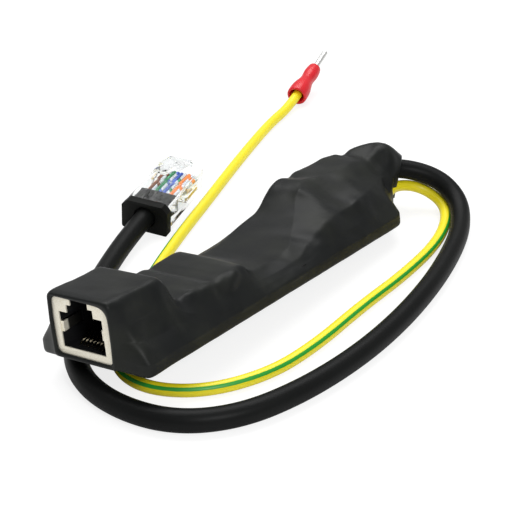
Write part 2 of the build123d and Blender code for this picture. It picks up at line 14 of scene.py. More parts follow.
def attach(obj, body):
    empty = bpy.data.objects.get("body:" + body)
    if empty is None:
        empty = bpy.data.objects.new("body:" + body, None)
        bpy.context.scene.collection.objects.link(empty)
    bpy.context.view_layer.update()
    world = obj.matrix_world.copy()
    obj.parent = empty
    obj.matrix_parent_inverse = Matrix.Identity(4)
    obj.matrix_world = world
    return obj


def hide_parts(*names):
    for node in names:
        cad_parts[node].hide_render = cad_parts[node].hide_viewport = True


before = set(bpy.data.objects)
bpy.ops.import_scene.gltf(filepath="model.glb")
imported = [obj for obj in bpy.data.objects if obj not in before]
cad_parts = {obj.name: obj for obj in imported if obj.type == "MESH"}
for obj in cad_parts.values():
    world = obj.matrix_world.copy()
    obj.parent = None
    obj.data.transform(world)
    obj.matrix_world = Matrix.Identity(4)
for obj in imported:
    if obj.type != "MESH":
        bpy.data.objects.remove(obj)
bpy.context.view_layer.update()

# %% [markdown]
# Sizes are named once, in metres. The board lies askew on the table, because its socket end rests
# on its own cable. One matrix, `board`, takes a point of the board's frame to the table, so all
# that belongs to the board is drawn straight. The plug and the terminal get such a matrix too.

# %% Places of the three groups
mm = 0.001
body = "protector"
board_lean = radians(-9.0)
board_pitch = radians(-3.45)
board_seat = Vector((-0.530, -58.514, 10.288)) * mm
plug_seat = Vector((-40.07, 6.95, 1.441)) * mm
plug_turns = radians(15.0), radians(4.0), radians(4.3)
terminal_seat = Vector((-56.3, 96.9, 3.22)) * mm
terminal_heading = radians(13.0)
terminal_climb = radians(13.0)
board_corner = Vector((-14.0, 97.0, -2.4)) * mm

board = (Matrix.Translation(board_seat) @ Matrix.Rotation(board_lean, 4, "Y")
         @ Matrix.Rotation(board_pitch, 4, "X"))
plug = (Matrix.Translation(plug_seat) @ Matrix.Rotation(plug_turns[0], 4, "Z")
        @ Matrix.Rotation(plug_turns[1], 4, "X") @ Matrix.Rotation(plug_turns[2], 4, "Y"))
terminal = (Matrix.Translation(terminal_seat) @ Matrix.Rotation(terminal_heading, 4, "Z")
            @ Matrix.Rotation(terminal_climb, 4, "X"))
print("board corner on the table", [round(value / mm, 2) for value in board @ board_corner])

# %% [markdown]
# The camera comes first. Its place was found by matching the socket's known size to the photograph,
# which gave a level camera a short step away, looking down at about 29 degrees. The picture is square,
# and the lens is a mild telephoto.

# %% Camera
camera_place = Vector((157.85, -217.45, 156.40)) * mm
camera_azimuth = radians(36.14)
camera_elevation = radians(28.87)
camera_lens = 92.5
camera_data = bpy.data.cameras.new("camera")
camera_data.lens = camera_lens
camera_data.sensor_width = 36.0
camera_data.sensor_fit = "HORIZONTAL"
camera_data.clip_start = 0.01
camera = bpy.data.objects.new("camera", camera_data)
camera.location = camera_place
camera.rotation_euler = (pi / 2 - camera_elevation, 0, camera_azimuth)
bpy.context.scene.collection.objects.link(camera)
bpy.context.scene.camera = camera
print("camera at", [round(value, 3) for value in camera_place])

# %% [markdown]
# A mesh is made from a list of points and a list of faces. One helper does that, marks the faces
# as smooth, gives the piece its material and lets it ride on a body of the frame, so that no piece
# is forgotten. The meshes are placed in world coordinates, as the CAD nodes are.

# %% Mesh helper
def make_piece(name, points, faces, look, replaced=(), rides=body):
    mesh = bpy.data.meshes.new(name)
    mesh.from_pydata([tuple(point) for point in points], [], faces)
    mesh.validate()
    mesh.polygons.foreach_set("use_smooth", [True] * len(mesh.polygons))
    mesh.update()
    piece = bpy.data.objects.new(name, mesh)
    bpy.context.scene.collection.objects.link(piece)
    piece.data.materials.append(look)
    settle(piece, replaced, rides)
    return piece


def settle(piece, replaced=(), rides=body):
    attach(piece, rides)
    if replaced:
        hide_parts(*replaced)


def tube_faces(rings, sides, closed_ends=True):
    faces = []
    for ring in range(rings - 1):
        for side in range(sides):
            near, far = ring * sides, (ring + 1) * sides
            following = (side + 1) % sides
            faces.append((near + side, near + following, far + following, far + side))
    if closed_ends:
        faces.append(tuple(reversed(range(sides))))
        faces.append(tuple(range((rings - 1) * sides, rings * sides)))
    return faces


print("mesh helpers ready")

# %% [markdown]
# Materials are node trees. Writing them out link by link hides the idea, so an output of a node is
# wrapped in a small class whose sums and products make the nodes. All other nodes come from one
# method, `add`, that takes the node's type, its settings and what goes into its sockets.

# %% Shader helpers
class Number:
    """One output of a shader tree, usable in sums."""

    def __init__(self, tree, socket):
        self.tree = tree
        self.socket = socket

    def pair(self, operation, first, second):
        return self.tree.add("ShaderNodeMath", {"operation": operation}, {0: first, 1: second})

    def __add__(self, other):
        return self.pair("ADD", self, other)

    def __radd__(self, other):
        return self.pair("ADD", other, self)

    def __sub__(self, other):
        return self.pair("SUBTRACT", self, other)

    def __rsub__(self, other):
        return self.pair("SUBTRACT", other, self)

    def __mul__(self, other):
        return self.pair("MULTIPLY", self, other)

    def __gt__(self, other):
        return self.pair("GREATER_THAN", self, other)

    def smooth(self, low, high):
        settings = {"interpolation_type": "SMOOTHSTEP"}
        sockets = {0: self, 1: low, 2: high, 3: 0.0, 4: 1.0}
        return self.tree.add("ShaderNodeMapRange", settings, sockets)


class Tree:
    """A node tree that is filled one node at a time."""

    def __init__(self, nodes_and_links):
        self.tree = nodes_and_links

    def add(self, kind, settings, sockets, output=0):
        node = self.tree.nodes.new(kind)
        for key, value in settings.items():
            setattr(node, key, value)
        for key, value in sockets.items():
            self.feed(node.inputs[key], value)
        return Number(self, node.outputs[output])

    def feed(self, socket, value):
        if isinstance(value, Number):
            self.tree.links.new(value.socket, socket)
        else:
            socket.default_value = value


class Look(Tree):
    """A material under construction, with its shader's fixed values set by name."""

    def __init__(self, name, **fixed):
        self.material = bpy.data.materials.new(name)
        self.material.use_nodes = True
        super().__init__(self.material.node_tree)
        self.shader = self.tree.nodes["Principled BSDF"]
        for words, value in fixed.items():
            self.shader.inputs[words.replace("_", " ")].default_value = value

    def place(self, output="Object"):
        return self.add("ShaderNodeTexCoord", {}, {}, output)

    def noise(self, scale, detail=3.0, roughness=0.5, where=None):
        sockets = {"Vector": where or self.place(), "Scale": scale, "Detail": detail,
                   "Roughness": roughness}
        return self.add("ShaderNodeTexNoise", {}, sockets, "Fac")

    def stretched(self, scales):
        return self.add("ShaderNodeMapping", {}, {"Vector": self.place(), "Scale": scales})

    def mix(self, amount, first, second):
        sockets = {0: amount, 6: (*first, 1) if isinstance(first, tuple) else first,
                   7: (*second, 1) if isinstance(second, tuple) else second}
        return self.add("ShaderNodeMix", {"data_type": "RGBA"}, sockets, 2)

    def bump(self, height, distance, strength=1.0):
        sockets = {"Height": height, "Distance": distance, "Strength": strength}
        return self.add("ShaderNodeBump", {}, sockets, "Normal")

    def set(self, **varied):
        for words, value in varied.items():
            self.feed(self.shader.inputs[words.replace("_", " ")], value)
        return self.material


print("shader helpers ready")

# %% [markdown]
# Heat-shrink film is a black polyolefin skin. It is satin, almost without colour, and it shows the
# light mostly as a soft olive-grey sheen on the faces that look up. Fine grain, faint long streaks
# from the shrinking and a few scuffs break the sheen up.

# %% Film material
def film_material():
    look = Look("shrink_film", Specular_IOR_Level=0.18)
    grain = look.noise(2600.0, 4.0, 0.6)
    cloud = look.noise(95.0, 3.0, 0.55)
    streak = look.noise(240.0, 2.0, 0.5, look.stretched((1.0, 0.25, 1.0)))
    colour = look.mix(cloud.smooth(0.35, 0.75), (0.0065, 0.0075, 0.0075), (0.014, 0.0155, 0.0125))
    roughness = 0.33 + cloud * 0.13 + streak * 0.08
    height = grain * 0.25 + streak * 0.6 + cloud * 0.7
    return look.set(Base_Color=colour, Roughness=roughness, Normal=look.bump(height, 0.12 * mm, 0.5))


film_look = film_material()
print("film material with", len(film_look.node_tree.nodes), "nodes")

# %% [markdown]
# The film follows what lies beneath: a box over the socket, a low block over the suppressor
# diodes, a dip, a tall hump over the gas tubes and a collar round the cords. It could be simulated
# as cloth, but sections give control: each is a closed outline of nine corners with its own
# roundness, given in millimetres of the board's frame, from the underside's left corner over the
# crest to the right. Along most of the length the flange that lies on the board's edge is the same.

# %% Film sections
soft = (0.9, 0.8, 3.0, 2.2, 2.2, 3.0, 3.0, 0.8, 0.9)
tight = (0.9, 0.7, 2.5, 1.5, 2.8, 2.5, 2.5, 0.7, 0.9)
flange = (-2.4, 0.6, -14.8, 14.8)


def section(y, edges, crest, rounds=soft):
    # The edges are the underside, the rim above it, the left side and the right side.
    low, rim, left, right = edges
    corners = [(left, low), (left, rim), *crest, (right, rim), (right, low)]
    return y, corners, rounds


film_sections = [
    section(-0.45, (-0.7, 2.6, -8.6, 8.75),
            [(-8.7, 7.0), (-8.4, 13.6), (8.7, 13.9), (8.95, 9.5), (9.0, 5.6)], tight),
    section(0.6, (-0.9, 2.0, -9.0, 9.1),
            [(-9.1, 7.0), (-8.5, 13.8), (8.7, 14.0), (9.1, 9.5), (9.2, 5.4)], tight),
    section(2.4, (-2.3, 0.5, -15.3, 14.6),
            [(-10.6, 6.2), (-8.5, 13.7), (8.6, 14.0), (10.2, 8.6), (11.4, 5.0)], tight),
    section(4.0, (-2.4, 0.6, -15.3, 14.9),
            [(-11.0, 5.6), (-8.5, 13.7), (8.6, 14.0), (10.4, 8.4), (12.0, 4.6)], tight),
    section(9.0, flange, [(-11.4, 5.0), (-8.5, 13.6), (8.5, 13.8), (10.2, 8.2), (12.2, 4.2)]),
    section(15.0, flange, [(-11.2, 5.0), (-8.5, 13.7), (8.5, 13.7), (10.4, 8.2), (12.2, 4.2)], tight),
    section(16.2, flange, [(-11.4, 4.6), (-8.5, 12.9), (8.5, 12.6), (10.6, 7.6), (12.4, 4.0)]),
    section(17.6, flange, [(-11.8, 3.6), (-8.4, 8.4), (8.7, 8.9), (11.2, 5.8), (12.8, 3.6)]),
    section(19.2, flange, [(-12.0, 3.0), (-8.3, 7.5), (9.2, 7.3), (12.0, 4.6), (13.4, 2.8)]),
    section(22.0, flange, [(-12.0, 2.7), (-8.4, 8.0), (9.9, 7.6), (12.4, 4.2), (13.6, 2.6)]),
    section(27.5, flange, [(-12.0, 2.7), (-8.5, 8.1), (10.3, 7.7), (12.4, 4.2), (13.6, 2.5)]),
    section(30.4, flange, [(-12.0, 2.8), (-8.5, 7.7), (10.4, 7.3), (12.4, 3.9), (13.6, 2.4)]),
    section(33.4, flange, [(-12.0, 3.0), (-8.6, 8.1), (10.6, 7.9), (12.4, 4.3), (13.6, 2.5)]),
    section(36.4, flange, [(-12.0, 3.2), (-8.6, 8.1), (10.6, 8.0), (12.4, 4.3), (13.6, 2.5)]),
    section(39.8, flange, [(-12.0, 3.3), (-8.7, 8.0), (10.3, 7.7), (12.4, 4.2), (13.6, 2.5)]),
    section(41.6, flange, [(-12.0, 3.1), (-8.7, 7.2), (9.8, 6.3), (12.2, 3.6), (13.5, 2.2)]),
    section(44.0, flange, [(-12.2, 2.6), (-8.8, 5.6), (9.2, 4.6), (12.0, 2.9), (13.4, 1.8)]),
    section(50.0, flange, [(-12.2, 2.4), (-8.8, 4.2), (9.0, 4.1), (12.0, 2.6), (13.4, 1.7)]),
    section(58.0, flange, [(-12.2, 2.8), (-9.0, 4.8), (8.8, 4.6), (12.0, 3.0), (13.4, 1.8)]),
    section(64.0, flange, [(-12.0, 3.2), (-9.2, 6.0), (6.0, 6.0), (10.8, 4.4), (13.4, 2.2)]),
    section(69.0, flange, [(-11.6, 3.8), (-8.8, 7.4), (3.4, 8.0), (10.6, 6.0), (13.2, 2.9)]),
    section(72.5, flange, [(-11.2, 4.6), (-8.5, 9.8), (1.6, 9.8), (10.8, 6.8), (13.2, 3.2)]),
    section(76.6, flange, [(-11.4, 5.2), (-8.6, 12.6), (-0.4, 12.4), (10.4, 7.0), (13.2, 3.3)]),
    section(79.6, flange, [(-11.5, 5.2), (-8.6, 13.2), (-1.6, 13.2), (10.2, 6.6), (13.2, 3.3)]),
    section(83.0, flange, [(-11.5, 5.2), (-8.5, 12.1), (-1.4, 12.9), (10.2, 6.6), (13.2, 3.3)]),
    section(86.6, flange, [(-11.5, 5.2), (-8.6, 13.1), (0.2, 12.6), (10.4, 7.4), (13.2, 3.3)]),
    section(93.0, flange, [(-11.4, 5.2), (-8.4, 12.9), (1.0, 12.8), (9.6, 7.9), (13.2, 3.3)]),
    section(97.6, (-2.4, 0.6, -14.6, 14.6),
            [(-10.6, 5.4), (-7.6, 13.5), (1.2, 13.0), (8.4, 7.9), (12.6, 3.4)]),
    section(100.4, (-2.2, 0.7, -11.6, 12.8),
            [(-9.2, 5.6), (-6.4, 13.7), (1.6, 12.6), (7.4, 8.0), (10.6, 3.8)]),
    section(103.6, (-1.8, 0.9, -8.4, 9.2),
            [(-7.8, 5.6), (-5.6, 12.6), (1.8, 12.0), (6.4, 8.2), (8.4, 3.8)]),
    section(106.6, (-1.3, 1.5, -6.6, 7.4),
            [(-6.6, 5.4), (-5.2, 13.8), (2.4, 13.0), (6.0, 8.6), (7.4, 4.4)]),
]
print("film sections", len(film_sections))

# %% [markdown]
# Every outline is sampled with the same number of points: a fixed count round each corner and
# along each side. Point number 20 is then the same feature in all sections, and the skin between
# them is found by a cubic that passes through each section without overshooting it.

# %% Outline sampling
corner_steps = 6
side_steps = 3
corner_share = 0.42


def rounded_outline(corners, rounds):
    # Corners become arcs, each on a limited share of its sides, which keep a few points of their own.
    arcs = []
    count = len(corners)
    for number in range(count):
        here = Vector(corners[number])
        before = Vector(corners[number - 1]) - here
        after = Vector(corners[(number + 1) % count]) - here
        half = before.angle(after) / 2
        room = corner_share * min(before.length, after.length)
        reach = min(rounds[number] / tan(half), room)
        start, end = here + before.normalized() * reach, here + after.normalized() * reach
        arc = []
        for step in range(corner_steps + 1):
            share = step / corner_steps
            arc.append(start * (1 - share) ** 2 + here * 2 * share * (1 - share) + end * share ** 2)
        arcs.append(arc)
    points = []
    for number, arc in enumerate(arcs):
        points += arc
        following = arcs[(number + 1) % count][0]
        points += [arc[-1].lerp(following, step / (side_steps + 1))
                   for step in range(1, side_steps + 1)]
    return points


def slope(before, here, after, run_before, run_after):
    # The slope of a cubic that doesn't overshoot: flat at a peak, and a weighted mean elsewhere.
    rise_before = (here - before) / run_before
    rise_after = (after - here) / run_after
    if rise_before * rise_after <= 0:
        return 0.0
    weight_before = 2 * run_after + run_before
    weight_after = run_after + 2 * run_before
    return (weight_before + weight_after) / (weight_before / rise_before + weight_after / rise_after)


def through(places, values, where):
    # The value of the cubic through (places, values) at each place asked for.
    runs = [after - before for before, after in zip(places, places[1:])]
    slopes = [(values[1] - values[0]) / runs[0]]
    for number in range(1, len(values) - 1):
        slopes.append(slope(*values[number - 1:number + 2], runs[number - 1], runs[number]))
    slopes.append((values[-1] - values[-2]) / runs[-1])
    found = []
    span = 0
    for place in where:
        while span < len(runs) - 1 and place > places[span + 1]:
            span += 1
        share = (place - places[span]) / runs[span]
        square, cube = share ** 2, share ** 3
        found.append(values[span] * (2 * cube - 3 * square + 1)
                     + slopes[span] * runs[span] * (cube - 2 * square + share)
                     + values[span + 1] * (3 * square - 2 * cube)
                     + slopes[span + 1] * runs[span] * (cube - square))
    return found


print("points per outline", len(rounded_outline(film_sections[0][1], film_sections[0][2])))

# %% [markdown]
# The skin's long stretch runs along the board. At the socket it turns over the face in a thin lip,
# whose one corner hangs low, and at the other end the collar turns to the right. Those two ends
# are extra outlines: the lip's window lies in the face, and the collar's rings stand across the
# cords' path.

# %% Film ends
lip_inside = 0.04
lip_edge = 0.315
lip_front = 0.65
lip_width = 0.55
lip_window = [
    (-7.4, 0.4), (-7.6, 3.6), (-7.6, 8.4), (-7.3, 12.9), (7.8, 12.5), (7.75, 5.0), (7.7, 3.8),
    (7.65, 2.6), (7.5, 0.3),
]
lip_rounds = (1.8, 0.5, 0.5, 1.6, 4.0, 0.5, 0.5, 0.5, 1.0)
collar_rings = [
    # middle in the board's frame, turn to the right, tilt downwards, half width, half height
    ((0.9, 109.4, 6.9), 14.0, 2.0, 6.4, 8.6),
    ((2.1, 111.5, 6.4), 30.0, 5.0, 6.1, 8.3),
    ((3.4, 113.0, 5.5), 46.0, 9.0, 5.5, 7.2),
    ((4.4, 113.9, 4.6), 57.0, 12.0, 4.9, 6.2),
    ((4.7, 114.2, 4.4), 61.0, 13.0, 4.7, 6.0),
]
collar_angles = (248, 208, 165, 120, 75, 35, 0, -34, -70)


def flat_ring(y, outline):
    return [Vector((point.x, y, point.y)) for point in outline]


def collar_ring(middle, turn, tilt, half_width, half_height):
    across = Vector((cos(radians(turn)), -sin(radians(turn)), 0))
    ahead = Vector((sin(radians(turn)), cos(radians(turn)), 0))
    upright = ahead * sin(radians(tilt)) + Vector((0, 0, cos(radians(tilt))))
    corners = [(half_width * cos(radians(angle)), half_height * sin(radians(angle)))
               for angle in collar_angles]
    outline = rounded_outline(corners, [half_height] * len(corners))
    return [Vector(middle) + across * point.x + upright * point.y for point in outline]


def lip_rings():
    # From inside the face outwards, over the film's front edge, by their distance before the face.
    window = rounded_outline(lip_window, lip_rounds)
    outer = rounded_outline(film_sections[0][1], film_sections[0][2])
    middle = [inner.lerp(edge, lip_width) for inner, edge in zip(window, outer)]
    return [flat_ring(-lip_inside, window), flat_ring(-lip_edge, window), flat_ring(-lip_front, middle)]


print("lip and collar rings", len(lip_rings()), len(collar_rings))

# %% [markdown]
# Rings are laid a little under a millimetre apart. Then the skin gets what shrinking leaves: a slow
# unevenness, dents, and folds that fan out from the steps. They are pushed into the mesh as real
# relief, because on a satin black surface only the shape shows.

# %% Film skin
ring_gap = 0.9
film_thickness = 0.55 * mm
relief_start = 3.0
underside_share = 0.35
unevenness = [
    # height, turns per millimetre across, along and up, start of the pattern
    (0.20, (0.16, 0.16, 0.16), (0, 0, 0)),
    (0.08, (0.45, 0.45, 0.45), (7, 0, 3)),
    (0.12, (0.50, 0.11, 0.50), (0, 0, 0)),
]
folds = [
    # from and to in the board's frame, reach, height
    ((-9.6, 70.0, 7.5), (-9.6, 71.5, 7.5), 3.4, -0.4),
    ((-1.7, 74.8, 10.6), (-2.2, 75.4, 11.2), 2.2, -0.4),
    ((0.9, 76.6, 11.6), (0.4, 84.0, 13.2), 1.9, 0.45),
    ((0.9, 76.6, 11.6), (8.2, 80.0, 8.0), 1.8, 0.4),
    ((4.6, 81.0, 10.4), (6.4, 86.0, 9.6), 4.4, -0.55),
    ((9.2, 80.5, 7.6), (9.8, 85.0, 7.2), 3.2, 0.55),
    ((4.0, 89.6, 12.0), (4.4, 91.0, 11.8), 2.3, 0.6),
    ((5.6, 96.0, 9.6), (6.0, 98.0, 9.0), 3.4, -0.35),
    ((12.4, 91.0, 3.4), (12.6, 94.0, 3.2), 3.6, -0.5),
    ((-4.5, 101.9, 13.2), (8.6, 103.4, 5.0), 1.5, -0.5),
    ((2.4, 105.5, 13.2), (7.8, 106.0, 6.0), 1.8, 0.3),
    ((11.9, 33.2, 5.6), (10.9, 36.0, 6.9), 1.9, 0.55),
    ((9.6, 21.6, 7.6), (9.9, 23.0, 7.8), 1.7, 0.45),
    ((-8.0, 29.9, 7.9), (12.0, 29.6, 5.5), 1.8, -0.3),
    ((9.3, 13.4, 11.4), (13.0, 14.4, 2.4), 1.3, 0.3),
    ((12.0, 8.0, 5.0), (12.2, 10.5, 5.0), 4.2, -0.6),
    ((13.2, 3.0, 2.8), (12.8, 4.0, 3.4), 3.0, 0.4),
    ((-11.6, 8.0, 4.0), (-11.8, 10.0, 4.0), 4.0, -0.5),
    ((-6.0, 47.0, 4.9), (8.0, 55.0, 4.6), 3.2, -0.35),
    ((3.0, 62.5, 6.4), (11.0, 66.0, 5.4), 2.6, -0.35),
]


def film_rings():
    first, last = film_sections[0][0], film_sections[-1][0]
    outlines = [rounded_outline(corners, rounds) for _, corners, rounds in film_sections]
    places = [entry[0] for entry in film_sections]
    count = int((last - first) / ring_gap)
    where = [first + (last - first) * number / count for number in range(count + 1)]
    columns = []
    for index in range(len(outlines[0])):
        across = through(places, [outline[index].x for outline in outlines], where)
        upward = through(places, [outline[index].y for outline in outlines], where)
        columns.append([Vector((x, y, z)) for x, y, z in zip(across, where, upward)])
    rings = [list(ring) for ring in zip(*columns)]
    return [*lip_rings(), *rings, *[collar_ring(*ring) for ring in collar_rings]]


def relief(point):
    # Height in millimetres that shrinking adds to a point of the skin.
    height = 0.0
    for rise, turns, shift in unevenness:
        height += rise * noise.noise(point * Vector(turns) + Vector(shift))
    for start, end, reach, rise in folds:
        start, end = Vector(start), Vector(end)
        share = (point - start).dot(end - start) / (end - start).length_squared
        distance = (point - start.lerp(end, min(1.0, max(0.0, share)))).length / reach
        height += rise * max(0.0, 1 - distance ** 2) ** 2
    return height


def film_skin():
    rings = film_rings()
    sides = len(rings[0])
    points = [point for ring in rings for point in ring]
    faces = tube_faces(len(rings), sides, closed_ends=False)
    piece = make_piece("film", [point * mm for point in points], faces, film_look,
                       ["heat_shrink_sleeve"])
    normals = [Vector(vertex.normal) for vertex in piece.data.vertices]
    # The lip and the first ring stay smooth, so that the face keeps its outline.
    smooth_points = (len(lip_rings()) + 1) * sides
    for number, vertex in enumerate(piece.data.vertices):
        point = points[number]
        behind_lip = (point.y - film_sections[0][0]) / relief_start
        fade = 0.0 if number < smooth_points else min(1.0, behind_lip)
        under = underside_share if point.z < 0.0 else 1.0
        vertex.co = board @ ((point + normals[number] * relief(point) * fade * under) * mm)
    thicken = piece.modifiers.new("thickness", "SOLIDIFY")
    thicken.thickness = film_thickness
    thicken.offset = -1.0
    smooth = piece.modifiers.new("smoothness", "SUBSURF")
    smooth.levels = smooth.render_levels = 1
    return piece


film = film_skin()
print("film", len(film.data.vertices), "points")

# %% [markdown]
# The two cords are smooth curves. A NURBS spline of order three cuts inside each corner of its
# control points, as a bent cable does. The control points are the routes of the CAD model in metres,
# and the earth wire's are moved by a few millimetres so that it lies as in the photograph.

# %% Cord routes
cable_diameter = 0.005
earth_diameter = 0.00285
cable_route = [
    (-0.0007, 0.04474, 0.01136), (-0.00067, 0.04833, 0.01115), (0.0040, 0.0568, 0.0109),
    (0.0130, 0.0614, 0.0086), (0.0203, 0.0596, 0.0051), (0.0256, 0.0518, 0.0029),
    (0.0300, 0.0400, 0.00252), (0.0343, 0.0220, 0.00252), (0.0367, 0.0030, 0.00252),
    (0.0369, -0.0150, 0.00252), (0.0346, -0.0326, 0.00252), (0.0296, -0.0472, 0.00252),
    (0.0204, -0.0566, 0.00252), (0.0076, -0.0592, 0.00252), (-0.0050, -0.0562, 0.00252),
    (-0.0156, -0.0472, 0.00252), (-0.0249, -0.0326, 0.00252), (-0.0327, -0.0162, 0.0026),
    (-0.03745, -0.00188, 0.00405), (-0.04143, 0.01296, 0.00512),
]
earth_route = [
    (0.00743, 0.03991, 0.00732), (0.00746, 0.04311, 0.00713), (0.0044, 0.0528, 0.0072),
    (0.0082, 0.0596, 0.0056), (0.0152, 0.0603, 0.0030), (0.0203, 0.0544, 0.0016),
    (0.0246, 0.0410, 0.00145), (0.0260, 0.0230, 0.00145), (0.0256, 0.0040, 0.00145),
    (0.0263, -0.0150, 0.00145), (0.0247, -0.0302, 0.00145), (0.0176, -0.0436, 0.00145),
    (0.0064, -0.0500, 0.00145), (-0.0046, -0.0468, 0.00145), (-0.0134, -0.0326, 0.00145),
    (-0.0218, -0.0140, 0.00145), (-0.0294, 0.0060, 0.00145), (-0.0362, 0.0266, 0.00145),
    (-0.0427, 0.0456, 0.00145), (-0.0488, 0.0646, 0.00145), (-0.0530, 0.0790, 0.0015),
    (-0.05498, 0.09120, 0.00187), (-0.05726, 0.10108, 0.00421),
]


def route_curve(name, route, radius=0.0):
    data = bpy.data.curves.new(name, "CURVE")
    data.dimensions = "3D"
    data.resolution_u = 16
    data.bevel_depth = radius
    data.bevel_resolution = 10
    data.use_fill_caps = radius > 0
    spline = data.splines.new("NURBS")
    spline.points.add(len(route) - 1)
    for point, place in zip(spline.points, route):
        point.co = (*place, 1.0)
    spline.order_u = 3
    spline.use_endpoint_u = True
    curve = bpy.data.objects.new(name, data)
    bpy.context.scene.collection.objects.link(curve)
    return curve


def route_points(route):
    # The points of the smooth line itself, read from a curve with no thickness.
    curve = route_curve("measure", route)
    mesh = bpy.data.meshes.new_from_object(curve)
    points = [vertex.co.copy() for vertex in mesh.vertices]
    bpy.data.objects.remove(curve)
    bpy.data.meshes.remove(mesh)
    return points


def line_length(points):
    return sum((after - before).length for before, after in zip(points, points[1:]))


cable_line = route_points(cable_route)
earth_line = route_points(earth_route)
print("cable", round(line_length(cable_line), 4), "earth wire", round(line_length(earth_line), 4))

# %% [markdown]
# The cable's jacket is soft black plastic with an even satin gloss. Very fine grain and a slow
# change of gloss keep it from looking like a computer's tube.

# %% Cable
def jacket_material():
    look = Look("cable_jacket", Specular_IOR_Level=0.10)
    grain = look.noise(1800.0, 3.0)
    drift = look.noise(60.0, 2.0)
    colour = look.mix(drift, (0.0038, 0.0042, 0.0044), (0.0085, 0.009, 0.0086))
    return look.set(Base_Color=colour, Roughness=0.36 + drift * 0.12,
                    Normal=look.bump(grain + drift * 2.0, 0.05 * mm, 0.4))


cable = route_curve("cable_jacket", cable_route, cable_diameter / 2)
cable.data.materials.append(jacket_material())
settle(cable, ["cable"])
print("cable follows", len(cable_route), "control points")

# %% [markdown]
# An earth wire is yellow with a green stripe. The stripe needs to know how far round the wire a
# point lies, so this tube is a mesh of its own with that angle kept in a UV map. The ring at each
# point is set square to the line and carried along without twist, from the direction that is up.

# %% Earth wire mesh
wire_sides = 28
stripe_turns = [
    # share of the length, turn of the stripe away from the top in degrees
    (0.0, -50.0), (0.5, -47.0), (0.6, -38.0), (0.66, -40.0), (0.72, -55.0), (1.0, -75.0),
]


def stripe_turn(share):
    for (start, turn), (end, following) in zip(stripe_turns, stripe_turns[1:]):
        if share <= end:
            return turn + (following - turn) * (share - start) / (end - start)
    return stripe_turns[-1][1]


def wire_mesh(name, line, radius, look):
    total = line_length(line)
    points, around, along = [], [], []
    travelled = 0.0
    for number, here in enumerate(line):
        ahead = line[min(number + 1, len(line) - 1)] - line[max(number - 1, 0)]
        forward = ahead.normalized()
        side = forward.cross(Vector((0, 0, 1))).normalized()
        top = side.cross(forward)
        if number:
            travelled += (here - line[number - 1]).length
        turn = radians(stripe_turn(travelled / total))
        for step in range(wire_sides):
            angle = 2 * pi * step / wire_sides
            points.append(here + (top * cos(angle + turn) + side * sin(angle + turn)) * radius)
            around.append(step / wire_sides)
            along.append(travelled)
    piece = make_piece(name, points, tube_faces(len(line), wire_sides), look,
                       ["earth_wire"])
    layer = piece.data.uv_layers.new(name="around")
    for polygon in piece.data.polygons:
        shares = [around[index] for index in polygon.vertices]
        for loop, share in zip(polygon.loop_indices, shares):
            wrapped = share + 1.0 if share == 0.0 and max(shares) > 0.5 else share
            layer.data[loop].uv = (wrapped, along[piece.data.loops[loop].vertex_index])
    return piece


def earth_material():
    look = Look("earth_insulation", Specular_IOR_Level=0.5, Coat_Weight=0.12, Coat_Roughness=0.25)
    share = look.add("ShaderNodeSeparateXYZ", {}, {"Vector": look.place("UV")})
    distance = look.add("ShaderNodeMath", {"operation": "PINGPONG"}, {0: share, 1: 0.5})
    ragged = look.noise(700.0, 2.0) * 0.012
    stripe = 1.0 - (distance + ragged).smooth(0.046, 0.062)
    drift = look.noise(70.0, 2.0)
    yellow = look.mix(drift, (0.90, 0.76, 0.006), (0.97, 0.84, 0.018))
    green = look.mix(drift, (0.010, 0.30, 0.022), (0.020, 0.40, 0.035))
    colour = look.mix(stripe, yellow, green)
    return look.set(Base_Color=colour, Roughness=0.38 + drift * 0.1,
                    Normal=look.bump(look.noise(1500.0), 0.03 * mm, 0.4))


earth = wire_mesh("earth_insulation", earth_line, earth_diameter / 2, earth_material())
print("earth wire", len(earth.data.vertices), "points")

# %% [markdown]
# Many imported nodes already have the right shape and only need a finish. A copy of a node's mesh can
# also be welded, cleaned of needless edges and given small round edges, which is what makes moulded
# plastic and folded sheet catch the light. The copy then stands for the node.

# %% Dressing nodes and softening copies
weld_gap = 0.002 * mm
flat_angle = radians(1.0)
sharp_angle = radians(32.0)


def dress(look, *names):
    for name in names:
        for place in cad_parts[name].material_slots:
            place.material = look


def softened_copy(node, name, look, rounding, rides=body):
    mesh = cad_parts[node].data.copy()
    mesh.name = name
    work = bmesh.new()
    work.from_mesh(mesh)
    bmesh.ops.remove_doubles(work, verts=work.verts, dist=weld_gap)
    bmesh.ops.dissolve_limit(work, angle_limit=flat_angle, verts=work.verts, edges=work.edges)
    work.to_mesh(mesh)
    work.free()
    mesh.materials.clear()
    mesh.materials.append(look)
    mesh.polygons.foreach_set("use_smooth", [True] * len(mesh.polygons))
    piece = bpy.data.objects.new(name, mesh)
    bpy.context.scene.collection.objects.link(piece)
    bevel = piece.modifiers.new("round edges", "BEVEL")
    bevel.width = rounding
    bevel.segments = 2
    bevel.limit_method = "ANGLE"
    bevel.angle_limit = sharp_angle
    bevel.harden_normals = True
    bevel.use_clamp_overlap = True
    settle(piece, [node], rides)
    return piece


print("nodes to dress", len(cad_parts))

# %% [markdown]
# The socket's can is thin tinned sheet. It mirrors the white studio, and its colour is partly the tin's
# own pale tone and partly painted reflection of that white, an ivory with fine specks where the plating
# is rough. Deeper in the mouth, where it is seen only through the insert's window, it is painted dark
# as shade. Each ground spring shows as a short tab behind the face, so the copy's springs are drawn
# nearer to their roots.

# %% Socket can
sheet_edge = 0.09 * mm
mouth_shade = 1.9 * mm, 2.5 * mm


